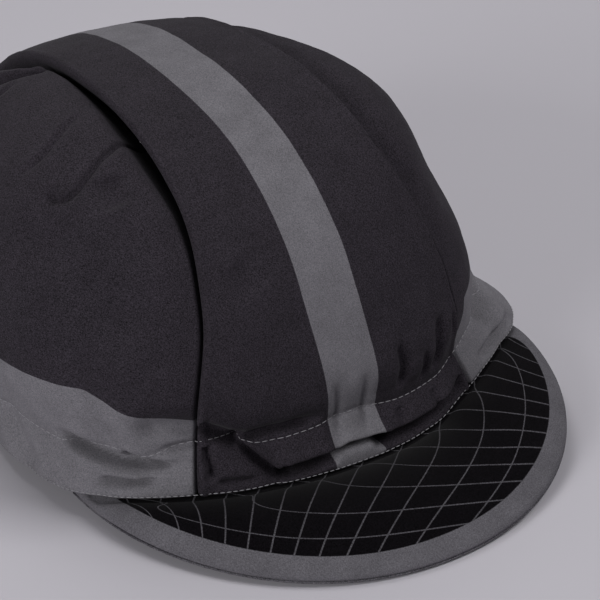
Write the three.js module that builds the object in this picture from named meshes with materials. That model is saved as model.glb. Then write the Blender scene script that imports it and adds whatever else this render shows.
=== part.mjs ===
import * as THREE from 'three';

// A soft cotton cycling cap, standing on the back of its hem and on the tip of its peak.
// Millimetres, +Z up, the peak towards -Y and the wearer's left towards +X.

// Crown, measured from the point of the surface below its middle
const FRONT_REACH = 84.9;
const BACK_REACH = 108;
const HALF_WIDTH = 77.3;
const CROWN_HEIGHT = 101.6;
const TOP_LEAN = 2.7;

// Exponents of the crown's curves, where 2 is an ellipse and more is squarer
const FRONT_SQUARENESS = 2.73;
const BACK_SQUARENESS = 2.18;
const HEM_SQUARENESS = 2.76;
const TOP_SQUARENESS = 2.88;

// Cloth and sewing
const CLOTH = 1.2;
const SEAM_GAP = 0.3;
const HEM_DEPTH = 14.8;
const HEM_FOLD_GAP = 0.2;
const HEM_FOLD_TAPER = 0.7;
const STITCH_PINCH = 3.1;
const STITCH_PINCH_SPREAD = 9;
const CORNER_LIFT = 9.5;
const CORNER_DIRECTION = 60;
const REST_DIRECTION = 100;
const PANEL_HALF_WIDTH = 45;
const SEAM_DIP = 2.4;
const SEAM_DIP_SPREAD = 7;

// Peak: two cloths, one above the other, sewn at the rim
const PEAK_REACH = 49;
const PEAK_CLOTH = 1.1;
const PEAK_GAP = 0.3;
const PEAK_CORNER = 61;
const PEAK_FLARE = 1.06;
const PEAK_ROUNDNESS = 2.06;
const PEAK_TUCK = 3.5;
const PEAK_ARCH_SLOPE = 0.15;
const PEAK_ROOT_RISE = 0.5;
const PEAK_ARCH_START = 1.6;
const PEAK_RIM_FALL = 1.5;

// Depths that the shares in the tables below multiply
const SWELL = 10;
const DENT = 3;

// Colours
const CROWN_COLOUR = 0x302d32;
const PEAK_COLOUR = 0x1c1a1e;
const UNDER_COLOUR = 0x59575c;

// Half widths of the centre panel, as shares of PANEL_HALF_WIDTH, from the front hem over the top to the back
const SEAM_ROWS = [
  { along: 0, right: 1, left: 1.01 },
  { along: 0.15, right: 0.8, left: 0.94 },
  { along: 0.3, right: 0.695, left: 0.755 },
  { along: 0.5, right: 0.68, left: 0.665 },
  { along: 0.7, right: 0.64, left: 0.675 },
  { along: 1, right: 0.64, left: 0.675 },
];

// How much of SEAM_DIP the side panels sink beside the seams
const DIP_ROWS = [
  { along: 0, share: 0.2 },
  { along: 0.12, share: 0.3 },
  { along: 0.25, share: 0.7 },
  { along: 0.34, share: 1 },
  { along: 0.43, share: 0.9 },
  { along: 0.56, share: 0.4 },
  { along: 1, share: 0.3 },
];

// Broad swells (+) and hollows (-) of the soft crown. Direction is in degrees from the front, positive on the
// wearer's left; height and rise are shares of CROWN_HEIGHT, spread is in degrees, amount is a share of SWELL
const SIDE_SWELLS = [
  { name: 'front hem', direction: 0, height: 0, spread: 38, rise: 0.1, amount: 0.3 },
  { name: 'left hem flare', direction: 78, height: 0, spread: 26, rise: 0.24, amount: 1.2 },
  { name: 'left hem, behind the flare', direction: 112, height: 0, spread: 34, rise: 0.2, amount: 0.4 },
  { name: 'right hem corner', direction: -62, height: 0, spread: 38, rise: 0.1, amount: 0.25 },
  { name: 'right hem', direction: -100, height: 0, spread: 38, rise: 0.1, amount: -0.6 },
  { name: 'low front', direction: 0, height: 0.25, spread: 38, rise: 0.22, amount: 0.55 },
  { name: 'low left front', direction: 60, height: 0.25, spread: 38, rise: 0.22, amount: -0.6 },
  { name: 'low left back', direction: 120, height: 0.25, spread: 38, rise: 0.22, amount: -0.7 },
  { name: 'low right back', direction: -120, height: 0.25, spread: 38, rise: 0.22, amount: -0.1 },
  { name: 'high front', direction: 0, height: 0.6, spread: 38, rise: 0.22, amount: 0.5 },
  { name: 'high left front', direction: 60, height: 0.6, spread: 38, rise: 0.22, amount: -0.85 },
  { name: 'high left back', direction: 120, height: 0.6, spread: 38, rise: 0.22, amount: -0.25 },
  { name: 'high right back', direction: -120, height: 0.6, spread: 38, rise: 0.22, amount: 0.2 },
];

// The same over the top, where a swell is placed by its direction and its reach from the middle
const TOP_SWELL_REACH = 55;
const TOP_SWELL_SPREAD = 45;
const TOP_SWELLS = [
  { name: 'top front', direction: 0, amount: -0.65 },
  { name: 'top left back', direction: 120, amount: -0.55 },
  { name: 'top right front', direction: -60, amount: 0.2 },
  { name: 'top right back', direction: -120, amount: -0.15 },
];

// Dents and folds, each along a short run from one place to another. Heights and widths are shares of
// CROWN_HEIGHT, depth is a share of DENT
const DENTS = [
  { name: 'crease by the right seam', from: [-47, 0.94], to: [-53, 0.885], width: 0.045, depth: 1 },
  { name: 'crease, middle', from: [-53, 0.885], to: [-56.5, 0.815], width: 0.04, depth: 0.9 },
  { name: 'crease, curled end', from: [-56.5, 0.815], to: [-63, 0.795], width: 0.035, depth: 0.7 },
  { name: 'second crease', from: [-69, 0.92], to: [-75, 0.8], width: 0.045, depth: 0.7 },
  { name: 'top crease', from: [-117, 0.95], to: [-131, 0.89], width: 0.04, depth: 0.7 },
  { name: 'hollow below the crease', from: [-48, 0.85], to: [-44, 0.78], width: 0.08, depth: 0.6 },
  { name: 'long hollow, upper', from: [-72, 0.72], to: [-54, 0.67], width: 0.09, depth: 0.6 },
  { name: 'long hollow, lower', from: [-54, 0.67], to: [-37, 0.45], width: 0.09, depth: 0.6 },
  { name: 'right hem fold', from: [-57, 0.14], to: [-40, 0.08], width: 0.04, depth: 0.6 },
  { name: 'front hem fold', from: [-21.5, 0.13], to: [-14, 0.04], width: 0.035, depth: 0.5 },
  { name: 'front hollow', from: [-19, 0.66], to: [-15, 0.57], width: 0.07, depth: 0.3 },
  { name: 'left hem fold', from: [56, 0.2], to: [48, 0.03], width: 0.045, depth: 0.7 },
  { name: 'left back dent', from: [118, 0.6], to: [104, 0.42], width: 0.09, depth: 0.7 },
  { name: 'back dent', from: [172, 0.62], to: [158, 0.44], width: 0.08, depth: 0.6 },
];

// Rows of the faceted sheets: shares of HEM_DEPTH up to the top of the band, then equal steps
const BAND_ROWS = [0, 0.3, 0.65, 0.93, 1.07, 1.45, 1.95, 2.5];
const CENTRE_COLUMNS = 12;
const CENTRE_UPPER_ROWS = 28;
const SIDE_COLUMNS = 32;
const SIDE_UPPER_ROWS = 11;
const SIDE_TOP_START = 0.29;
const SIDE_TOP_END = 0.71;
const PEAK_COLUMNS = 34;
const PEAK_ROWS = 7;
const PEAK_HIDDEN_LIMIT = 0.7;
const SEARCH_STEPS = 40;
const SEARCH_LIMIT = 4;
const LEVEL_STEPS = 8;
const SEAM_SAMPLES = 120;

const degrees = THREE.MathUtils.radToDeg;
const radians = THREE.MathUtils.degToRad;
const smooth = (value, low, high) => THREE.MathUtils.smoothstep(value, low, high);
const bell = (value) => Math.exp(-value * value);

// A smooth curve through a table's columns that doesn't overshoot its rows and is level at its ends
function curveThrough(xs, ys) {
  const count = xs.length;
  const steps = xs.slice(1).map((x, i) => x - xs[i]);
  const slopes = steps.map((step, i) => (ys[i + 1] - ys[i]) / step);
  const tangents = new Array(count).fill(0);
  for (let i = 1; i < count - 1; i += 1) {
    if (slopes[i - 1] * slopes[i] > 0) {
      const before = 2 * steps[i] + steps[i - 1];
      const after = steps[i] + 2 * steps[i - 1];
      tangents[i] = (before + after) / (before / slopes[i - 1] + after / slopes[i]);
    }
  }
  return (x) => {
    const at = THREE.MathUtils.clamp(x, xs[0], xs[count - 1]);
    let i = 0;
    while (i < count - 2 && at > xs[i + 1]) i += 1;
    const t = (at - xs[i]) / steps[i];
    const start = (1 + 2 * t) * (1 - t) ** 2 * ys[i] + t * (1 - t) ** 2 * steps[i] * tangents[i];
    const end = t * t * (3 - 2 * t) * ys[i + 1] + t * t * (t - 1) * steps[i] * tangents[i + 1];
    return start + end;
  };
}

const seamAlong = SEAM_ROWS.map((row) => row.along);
const seamShare = {
  right: curveThrough(seamAlong, SEAM_ROWS.map((row) => row.right)),
  left: curveThrough(seamAlong, SEAM_ROWS.map((row) => row.left)),
};
const dipShare = curveThrough(DIP_ROWS.map((row) => row.along), DIP_ROWS.map((row) => row.share));
const peakStack = 2 * PEAK_CLOTH + PEAK_GAP;
const frontLift = peakStack + PEAK_GAP + PEAK_ROOT_RISE;
const hemDirections = [0, CORNER_DIRECTION, REST_DIRECTION, 180];
const hemLift = curveThrough(hemDirections, [frontLift, CORNER_LIFT, 0, 0]);

// Squareness of the crown's section at an angle over the crown, 0 at the front hem and half a turn at the back
function sectionSquareness(angle) {
  return HEM_SQUARENESS + (TOP_SQUARENESS - HEM_SQUARENESS) * Math.sin(angle) ** 2;
}

// Point of the plain dome at an angle over the crown and a distance from its middle line
function domePoint(angle, x) {
  const front = angle <= Math.PI / 2;
  const reach = front ? FRONT_REACH : BACK_REACH;
  const power = 2 / (front ? FRONT_SQUARENESS : BACK_SQUARENESS);
  const squareness = sectionSquareness(angle);
  const share = Math.min(Math.abs(x) / HALF_WIDTH, 1);
  const radius = (1 - share ** squareness) ** (1 / squareness);
  const level = Math.cos(angle);
  const y = -reach * Math.sign(level) * Math.abs(level) ** power * radius;
  const z = CROWN_HEIGHT * Math.abs(Math.sin(angle)) ** power * radius;
  return new THREE.Vector3(x, y, z);
}

// How far out a place lies, 1 on the plain dome; across and ahead are shares of the crown's reaches
function domeMeasure(across, ahead, height) {
  const squareness = ahead > 0 ? FRONT_SQUARENESS : BACK_SQUARENESS;
  const angle = Math.atan2(height ** (squareness / 2), Math.abs(ahead) ** (squareness / 2));
  const section = sectionSquareness(angle);
  const profile = (Math.abs(ahead) ** squareness + height ** squareness) ** (section / squareness);
  return profile + Math.abs(across) ** section;
}

// Point of the plain dome in a direction from the front, in degrees, at a height share
function domeAt(direction, height) {
  const sine = Math.sin(radians(direction));
  const cosine = Math.cos(radians(direction));
  const ahead = cosine > 0 ? cosine : (cosine * FRONT_REACH) / BACK_REACH;
  let low = 0;
  let high = SEARCH_LIMIT;
  for (let step = 0; step < SEARCH_STEPS; step += 1) {
    const middle = (low + high) / 2;
    if (domeMeasure(middle * sine, middle * ahead, height) > 1) high = middle;
    else low = middle;
  }
  const reach = cosine > 0 ? FRONT_REACH : BACK_REACH;
  return new THREE.Vector3(HALF_WIDTH * low * sine, -reach * low * ahead, CROWN_HEIGHT * height);
}

// Moves a point straight out from the middle onto the plain dome
function ontoDome(point) {
  const reach = point.y < 0 ? FRONT_REACH : BACK_REACH;
  const height = point.z / CROWN_HEIGHT;
  let low = 0;
  let high = SEARCH_LIMIT;
  for (let step = 0; step < SEARCH_STEPS; step += 1) {
    const scale = (low + high) / 2;
    const across = (scale * point.x) / HALF_WIDTH;
    const ahead = (-scale * point.y) / reach;
    if (domeMeasure(across, ahead, scale * height) > 1) high = scale;
    else low = scale;
  }
  return point.clone().multiplyScalar(low);
}

function directionOf(point) {
  return degrees(Math.atan2(point.x / HALF_WIDTH, -point.y / FRONT_REACH));
}

function outwardAt(point) {
  const normal = new THREE.Vector3(
    point.x / HALF_WIDTH ** 2,
    point.y / FRONT_REACH ** 2,
    point.z / CROWN_HEIGHT ** 2,
  );
  return normal.normalize();
}

const dents = DENTS.map((row) => ({
  run: new THREE.Line3(domeAt(...row.from), domeAt(...row.to)),
  width: row.width * CROWN_HEIGHT,
  depth: row.depth * DENT,
}));

// How far the soft crown stands out from the plain dome at one of its points
function swellAt(point) {
  const direction = directionOf(point);
  const height = point.z / CROWN_HEIGHT;
  let swell = -STITCH_PINCH * bell((point.z - HEM_DEPTH) / STITCH_PINCH_SPREAD);
  for (const row of SIDE_SWELLS) {
    const turn = ((direction - row.direction + 540) % 360) - 180;
    swell += SWELL * row.amount * bell(turn / row.spread) * bell((height - row.height) / row.rise);
  }
  for (const row of TOP_SWELLS) {
    const x = TOP_SWELL_REACH * Math.sin(radians(row.direction));
    const y = -TOP_SWELL_REACH * Math.cos(radians(row.direction));
    swell += SWELL * row.amount * bell(Math.hypot(point.x - x, point.y - y) / TOP_SWELL_SPREAD);
  }
  const nearest = new THREE.Vector3();
  let deepest = 0;
  for (const { run, width, depth } of dents) {
    run.closestPointToPoint(point, true, nearest);
    deepest = Math.max(deepest, depth * bell(nearest.distanceTo(point) / width));
  }
  return swell - deepest;
}

// Point of the soft crown over a point of the plain dome, a depth inside its outer face
function crownPoint(point, depth) {
  const height = point.z / CROWN_HEIGHT;
  const result = point.clone().addScaledVector(outwardAt(point), swellAt(point) - depth);
  result.y += TOP_LEAN * height ** 2;
  result.z += hemLift(Math.abs(directionOf(point))) * (1 - height);
  return result;
}

// Thickness of the wall at a height: the hem is turned up inside as far as the stitch row
function wallDepth(z) {
  const single = smooth(z, HEM_DEPTH - HEM_FOLD_TAPER, HEM_DEPTH + HEM_FOLD_TAPER);
  return CLOTH + (1 - single) * (CLOTH + HEM_FOLD_GAP);
}

// A point of a seam; inset is negative on the side panel's side of it
function seamPoint(side, along, inset) {
  const sign = side === 'right' ? -1 : 1;
  const width = seamShare[side](along) * PANEL_HALF_WIDTH - inset;
  return domePoint(along * Math.PI, sign * width);
}

// Place along a seam where it reaches a height in millimetres, in the front or the back half
function seamAlongAt(side, z, inset, back) {
  let low = 0;
  let high = 0.5;
  for (let step = 0; step < SEARCH_STEPS; step += 1) {
    const middle = (low + high) / 2;
    if (seamPoint(side, back ? 1 - middle : middle, inset).z > z) high = middle;
    else low = middle;
  }
  return back ? 1 - low : low;
}

const seamRuns = {};
for (const side of ['right', 'left']) {
  seamRuns[side] = Array.from({ length: SEAM_SAMPLES + 1 }, (_, i) => {
    const along = i / SEAM_SAMPLES;
    return { along, point: seamPoint(side, along, 0) };
  });
}

// How far a side panel sinks at a point beside its seam
function seamDip(side, point) {
  let nearest = seamRuns[side][0];
  for (const sample of seamRuns[side]) {
    if (sample.point.distanceTo(point) < nearest.point.distanceTo(point)) nearest = sample;
  }
  const reach = nearest.point.distanceTo(point) / SEAM_DIP_SPREAD;
  return SEAM_DIP * dipShare(nearest.along) * bell(reach);
}

// Closed solid between two sheets of points with the same rows and columns
function closedSheet(outer, inner) {
  const rows = outer.length;
  const columns = outer[0].length;
  const positions = [...outer.flat(), ...inner.flat()].flatMap((point) => point.toArray());
  const at = (layer, row, column) => layer * rows * columns + row * columns + column;
  const triangles = [];
  const quad = (a, b, c, d) => triangles.push(a, b, c, a, c, d);
  for (let i = 0; i < rows - 1; i += 1) {
    for (let j = 0; j < columns - 1; j += 1) {
      quad(at(0, i, j), at(0, i, j + 1), at(0, i + 1, j + 1), at(0, i + 1, j));
      quad(at(1, i, j), at(1, i + 1, j), at(1, i + 1, j + 1), at(1, i, j + 1));
    }
    quad(at(0, i, 0), at(0, i + 1, 0), at(1, i + 1, 0), at(1, i, 0));
    quad(at(0, i + 1, columns - 1), at(0, i, columns - 1), at(1, i, columns - 1), at(1, i + 1, columns - 1));
  }
  for (let j = 0; j < columns - 1; j += 1) {
    quad(at(0, 0, j + 1), at(0, 0, j), at(1, 0, j), at(1, 0, j + 1));
    quad(at(0, rows - 1, j), at(0, rows - 1, j + 1), at(1, rows - 1, j + 1), at(1, rows - 1, j));
  }
  const geometry = new THREE.BufferGeometry();
  geometry.setAttribute('position', new THREE.Float32BufferAttribute(positions, 3));
  geometry.setIndex(signedVolume(positions, triangles) > 0 ? triangles : triangles.reverse());
  geometry.computeVertexNormals();
  return geometry;
}

function signedVolume(positions, triangles) {
  const corner = (index) => new THREE.Vector3().fromArray(positions, index * 3);
  let volume = 0;
  for (let i = 0; i < triangles.length; i += 3) {
    const [a, b, c] = [0, 1, 2].map((k) => corner(triangles[i + k]));
    volume += a.dot(b.cross(c)) / 6;
  }
  return volume;
}

// Heights of the band's rows above the hem, in millimetres
const bandHeights = BAND_ROWS.map((share) => share * HEM_DEPTH);

// The long panel from the peak over the top to the back: level rows near the hem, then rows square to it
function centrePanel() {
  const bandTop = bandHeights[bandHeights.length - 1];
  const angleAt = (z, squareness) => Math.asin((z / CROWN_HEIGHT) ** (squareness / 2));
  const front = bandHeights.map((z) => angleAt(z, FRONT_SQUARENESS));
  const back = bandHeights.map((z) => Math.PI - angleAt(z, BACK_SQUARENESS));
  const first = front[front.length - 1];
  const last = back[back.length - 1];
  const upper = Array.from({ length: CENTRE_UPPER_ROWS - 1 }, (_, i) => (
    THREE.MathUtils.lerp(first, last, (i + 1) / CENTRE_UPPER_ROWS)
  ));
  const angles = [...front, ...upper, ...back.reverse()];
  const outer = [];
  const inner = [];
  for (const angle of angles) {
    const outerRow = [];
    const innerRow = [];
    for (let j = 0; j <= CENTRE_COLUMNS; j += 1) {
      const across = (2 * j) / CENTRE_COLUMNS - 1;
      const side = across < 0 ? 'right' : 'left';
      const level = domePoint(angle, 0).z;
      const upright = smooth(level, bandTop, 2 * bandTop);
      let tilted = angle;
      let x = 0;
      for (let step = 0; step < LEVEL_STEPS; step += 1) {
        const along = tilted / Math.PI;
        x = across * (seamShare[side](along) * PANEL_HALF_WIDTH - SEAM_GAP / 2);
        tilted = levelAngle(angle, x, upright);
      }
      const point = domePoint(tilted, x);
      const edge = Math.abs(across) === 1 ? CLOTH + SEAM_DIP * dipShare(tilted / Math.PI) : 0;
      outerRow.push(crownPoint(point, 0));
      innerRow.push(crownPoint(point, Math.max(wallDepth(level), CLOTH + edge)));
    }
    outer.push(outerRow);
    inner.push(innerRow);
  }
  return closedSheet(outer, inner);
}

// Angle over the crown at which a row keeps its middle's height, or its middle's angle where upright is 1
function levelAngle(angle, x, upright) {
  const squareness = angle <= Math.PI / 2 ? FRONT_SQUARENESS : BACK_SQUARENESS;
  const section = sectionSquareness(angle);
  const radius = (1 - (Math.abs(x) / HALF_WIDTH) ** section) ** (1 / section);
  const height = Math.sin(angle) ** (2 / squareness) * radius ** (upright - 1);
  const tilted = Math.asin(Math.min(height, 1) ** (squareness / 2));
  return angle <= Math.PI / 2 ? tilted : Math.PI - tilted;
}

// A side panel: level rows in the band above the hem, then a four-sided sheet up to the seam
function sidePanel(side) {
  const inset = -SEAM_GAP / 2;
  const sign = side === 'right' ? -1 : 1;
  const rows = bandHeights.map((z) => {
    const start = Math.abs(directionOf(seamPoint(side, seamAlongAt(side, z, inset, false), inset)));
    const end = Math.abs(directionOf(seamPoint(side, seamAlongAt(side, z, inset, true), inset)));
    return Array.from({ length: SIDE_COLUMNS + 1 }, (_, j) => (
      domeAt(sign * THREE.MathUtils.lerp(start, end, j / SIDE_COLUMNS), z / CROWN_HEIGHT)
    ));
  });
  const bandTop = bandHeights[bandHeights.length - 1];
  const bottom = rows[rows.length - 1];
  const frontStart = seamAlongAt(side, bandTop, inset, false);
  const backStart = seamAlongAt(side, bandTop, inset, true);
  const edge = (from, to, share) => seamPoint(side, THREE.MathUtils.lerp(from, to, share), inset);
  for (let i = 1; i <= SIDE_UPPER_ROWS; i += 1) {
    const v = i / SIDE_UPPER_ROWS;
    const near = edge(frontStart, SIDE_TOP_START, v);
    const far = edge(backStart, SIDE_TOP_END, v);
    const row = bottom.map((low, j) => {
      const u = j / SIDE_COLUMNS;
      const high = edge(SIDE_TOP_START, SIDE_TOP_END, u);
      const cornersLow = bottom[0].clone().lerp(bottom[SIDE_COLUMNS], u);
      const cornersHigh = seamPoint(side, SIDE_TOP_START, inset).lerp(seamPoint(side, SIDE_TOP_END, inset), u);
      const point = low.clone().lerp(high, v).add(near.clone().lerp(far, u));
      return ontoDome(point.sub(cornersLow.lerp(cornersHigh, v)));
    });
    rows.push(row);
  }
  const layer = (depthAt) => rows.map((row) => row.map((point) => crownPoint(point, depthAt(point))));
  const outer = layer((point) => seamDip(side, point));
  const inner = layer((point) => seamDip(side, point) + wallDepth(point.z));
  return closedSheet(outer, inner);
}

// Point of the peak's upper face: across runs from the right corner (-1) to the left (1), and row counts from
// the root inside the hem, past the hem's outer face, to the rim
function peakPoint(across, row) {
  const turn = (across * Math.PI) / 2;
  const spread = Math.sign(turn) * Math.abs(Math.sin(turn)) ** (2 / PEAK_ROUNDNESS);
  const ahead = Math.abs(Math.cos(turn)) ** (2 / PEAK_ROUNDNESS);
  const cornerX = HALF_WIDTH * Math.sin(radians(PEAK_CORNER)) ** (2 / HEM_SQUARENESS);
  const cornerY = domeHemY(cornerX);
  const hem = new THREE.Vector3(cornerX * spread, domeHemY(cornerX * spread), 0);
  const root = crownPoint(hem, PEAK_TUCK);
  root.z -= PEAK_GAP;
  const rim = new THREE.Vector3(
    PEAK_FLARE * cornerX * spread,
    cornerY - (FRONT_REACH + PEAK_REACH + cornerY) * ahead,
    THREE.MathUtils.lerp(CORNER_LIFT - 2 * PEAK_GAP, peakStack, Math.abs(Math.cos(turn)) ** PEAK_RIM_FALL),
  );
  const length = Math.hypot(rim.x - root.x, rim.y - root.y);
  const hidden = Math.min((PEAK_TUCK + PEAK_ARCH_START) / length, PEAK_HIDDEN_LIMIT);
  const open = Math.max(row - 1, 0) / (PEAK_ROWS - 1);
  const point = root.lerp(rim, row === 0 ? 0 : THREE.MathUtils.lerp(hidden, 1, open));
  const shown = Math.max(length - PEAK_TUCK - 2 * PEAK_ARCH_START, 0);
  point.z += PEAK_ARCH_SLOPE * shown * 4 * open * (1 - open);
  return point;
}

function domeHemY(x) {
  return -FRONT_REACH * (1 - (Math.abs(x) / HALF_WIDTH) ** HEM_SQUARENESS) ** (1 / HEM_SQUARENESS);
}

// One cloth of the peak, a drop below the peak's upper face
function peakSheet(drop) {
  const layer = (depth) => Array.from({ length: PEAK_ROWS + 1 }, (_, i) => (
    Array.from({ length: PEAK_COLUMNS + 1 }, (__, j) => {
      const point = peakPoint((2 * j) / PEAK_COLUMNS - 1, i);
      point.z -= depth;
      return point;
    })
  ));
  return closedSheet(layer(drop), layer(drop + PEAK_CLOTH));
}

function cloth(colour) {
  return new THREE.MeshStandardMaterial({ color: colour, roughness: 0.9, metalness: 0 });
}

function piece(name, geometry, colour) {
  const mesh = new THREE.Mesh(geometry, cloth(colour));
  mesh.name = name;
  return mesh;
}

const cap = new THREE.Group();
cap.add(
  piece('centre_panel', centrePanel(), CROWN_COLOUR),
  piece('side_panel_right', sidePanel('right'), CROWN_COLOUR),
  piece('side_panel_left', sidePanel('left'), CROWN_COLOUR),
  piece('peak_top', peakSheet(0), PEAK_COLOUR),
  piece('peak_under', peakSheet(PEAK_CLOTH + PEAK_GAP), UNDER_COLOUR),
);

// The origin is below the middle of the cap's outline
const middle = new THREE.Box3().setFromObject(cap, true).getCenter(new THREE.Vector3());
cap.position.set(-middle.x, -middle.y, 0);

export default cap;
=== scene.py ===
"""A soft cotton cycling cap with a striped crown and a short turned-down peak, standing on a pale floor."""

import logging
import math
from dataclasses import dataclass, field
from enum import Enum
from typing import Callable

import bmesh
import bpy
import numpy as np
from mathutils import Matrix, Vector, noise

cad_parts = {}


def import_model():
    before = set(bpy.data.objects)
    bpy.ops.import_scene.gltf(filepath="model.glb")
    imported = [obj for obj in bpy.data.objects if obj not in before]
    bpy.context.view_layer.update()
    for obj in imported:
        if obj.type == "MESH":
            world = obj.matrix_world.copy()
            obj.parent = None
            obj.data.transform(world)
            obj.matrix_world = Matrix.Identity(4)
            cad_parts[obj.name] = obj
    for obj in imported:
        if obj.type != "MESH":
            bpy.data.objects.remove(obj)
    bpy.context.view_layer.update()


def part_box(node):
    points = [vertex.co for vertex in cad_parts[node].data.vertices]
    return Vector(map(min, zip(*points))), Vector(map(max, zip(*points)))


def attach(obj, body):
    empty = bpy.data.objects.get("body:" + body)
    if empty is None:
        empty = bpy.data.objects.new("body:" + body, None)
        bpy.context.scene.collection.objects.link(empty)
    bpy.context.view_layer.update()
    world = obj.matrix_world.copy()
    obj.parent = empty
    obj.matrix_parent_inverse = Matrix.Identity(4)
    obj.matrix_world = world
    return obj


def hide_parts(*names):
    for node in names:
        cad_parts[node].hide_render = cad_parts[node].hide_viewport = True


LOG = logging.getLogger("cap")

# Sizes below are in millimetres and angles in degrees, unless a name says otherwise
MM = 0.001

# Places are found by halving a span again and again, from this many times the dome's own reach
HALVINGS = 40
SEARCH_REACH = 4.0

# Points whose nearest place on a line is looked up together, which keeps the memory small
CHUNK = 4000

BLACK_COTTON = "2d292f"
GREY_INK = "6f6d72"

Array = np.ndarray
Curve = Callable[[Array], Array]
Place = tuple[float, float]


def smoothstep(value: Array, low: float, high: float) -> Array:
    """Share from 0 at low to 1 at high, level at both ends."""
    share = np.clip((value - low) / (high - low), 0.0, 1.0)
    return share * share * (3.0 - 2.0 * share)


def wrapped(angle: Array) -> Array:
    """Angle brought between half a turn to the right and half a turn to the left."""
    return (angle + 540) % 360 - 180


def bell(value: Array) -> Array:
    """Smooth bump of height 1 that has died away by 2."""
    return np.exp(-value * value)


def curve_through(rows: tuple[Place, ...]) -> Curve:
    """A smooth curve through a table that doesn't overshoot its rows and is level at its ends.

    Args:
        rows: Pairs of a place and the value there, in rising order of place.

    Returns:
        A function from places to values.
    """
    xs = np.array([row[0] for row in rows])
    ys = np.array([row[1] for row in rows])
    steps = np.diff(xs)
    slopes = np.diff(ys) / steps
    tangents = np.zeros(len(xs))
    for i in range(1, len(xs) - 1):
        if slopes[i - 1] * slopes[i] > 0:
            before = 2 * steps[i] + steps[i - 1]
            after = steps[i] + 2 * steps[i - 1]
            tangents[i] = (before + after) / (before / slopes[i - 1] + after / slopes[i])

    def value_at(x: Array) -> Array:
        """Value of the curve at each place."""
        at = np.clip(x, xs[0], xs[-1])
        i = np.clip(np.searchsorted(xs, at, side="left") - 1, 0, len(xs) - 2)
        t = (at - xs[i]) / steps[i]
        start = (1 + 2 * t) * (1 - t) ** 2 * ys[i] + t * (1 - t) ** 2 * steps[i] * tangents[i]
        end = t * t * (3 - 2 * t) * ys[i + 1] + t * t * (t - 1) * steps[i] * tangents[i + 1]
        return start + end

    return value_at


def nearest_on_run(points: Array, run: Array) -> tuple[Array, Array, Array]:
    """Distance from each point to a line of short straight runs.

    Args:
        points: Points, one to a row.
        run: Corners of the line, in order.

    Returns:
        The distance, the share of the line's length at the nearest place, and the vector from there.
    """
    starts = run[:-1]
    spans = np.diff(run, axis=0)
    lengths = np.linalg.norm(spans, axis=1)
    marks = np.concatenate([[0.0], np.cumsum(lengths)])
    distance = np.empty(len(points))
    share = np.empty(len(points))
    away = np.empty_like(points)
    for low in range(0, len(points), CHUNK):
        part = points[low:low + CHUNK, None, :]
        along = np.clip(((part - starts) * spans).sum(-1) / lengths ** 2, 0.0, 1.0)
        gap = part - (starts + along[..., None] * spans)
        reach = np.linalg.norm(gap, axis=-1)
        best = np.argmin(reach, axis=1)
        row = np.arange(len(best))
        distance[low:low + CHUNK] = reach[row, best]
        share[low:low + CHUNK] = (marks[best] + along[row, best] * lengths[best]) / marks[-1]
        away[low:low + CHUNK] = gap[row, best]
    return distance, share, away


def last_inside(outside: Callable[[Array], Array], like: Array, limit: float) -> Array:
    """Where numbers from 0 upwards stop being inside, by halving.

    Args:
        outside: Says for an array of numbers which of them are outside.
        like: An array of the shape that is wanted.
        limit: A number that is always outside.

    Returns:
        The largest numbers found inside.
    """
    low = np.zeros_like(like)
    high = np.full_like(like, limit)
    for _ in range(HALVINGS):
        middle = (low + high) / 2
        beyond = outside(middle)
        high = np.where(beyond, middle, high)
        low = np.where(beyond, low, middle)
    return low


def rounded_edge(inset: Array, radius: float) -> Array:
    """How far a rounded edge has dropped at a distance in from it."""
    rest = np.clip(radius - inset, 0.0, radius)
    return radius - np.sqrt(radius ** 2 - rest ** 2)


class Side(Enum):
    """A side of the crown, with the sign of its x."""

    RIGHT = -1
    LEFT = 1


class Cut(Enum):
    """The cloth that is laid over the crown; plain cloth follows its swells without its folds."""

    PLAIN = "plain"
    CENTRE = "centre"
    SIDES = "sides"


@dataclass(frozen=True)
class Swell:
    """A broad swell (+) or hollow (-) of the crown; height and rise are shares of the crown's height."""

    direction: float
    height: float
    spread: float
    rise: float
    amount: float


@dataclass(frozen=True)
class Fold:
    """A fold of the cloth along a path of places, each a direction and a share of the crown's height.

    The groove is depth deep and falls away by its width; a sharpness of 1 gives a crease and 2 a soft valley.
    Lips bulge beside it and die away slowly, on the left and on the right of the path as seen from outside.
    A right width makes the groove lopsided; at 0 the right side falls away like the left one.
    """

    name: str
    path: tuple[Place, ...]
    width: float
    depth: float
    sharpness: float = 2.0
    left_lip: float = 0.0
    right_lip: float = 0.0
    fade_in: float = 0.25
    fade_out: float = 0.25
    right_width: float = 0.0


SIDE_SWELLS = (
    Swell(0, 0, 38, 0.1, 3.0),
    Swell(64, 0, 17, 0.15, 9.5),
    Swell(112, 0, 34, 0.2, 1.0),
    Swell(-62, 0, 38, 0.1, 2.5),
    Swell(-100, 0, 38, 0.1, -6.0),
    Swell(0, 0.25, 38, 0.22, 5.5),
    Swell(60, 0.25, 38, 0.22, -6.0),
    Swell(120, 0.25, 38, 0.22, -7.0),
    Swell(-120, 0.25, 38, 0.22, -1.0),
    Swell(0, 0.6, 38, 0.22, 5.0),
    Swell(60, 0.6, 38, 0.22, -8.5),
    Swell(120, 0.6, 38, 0.22, -2.5),
    Swell(-120, 0.6, 38, 0.22, 2.0),
)

# Swells over the top, each a direction and an amount
TOP_SWELLS = ((0, -6.5), (120, -5.5), (-60, 2.0), (-120, -1.5))

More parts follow.
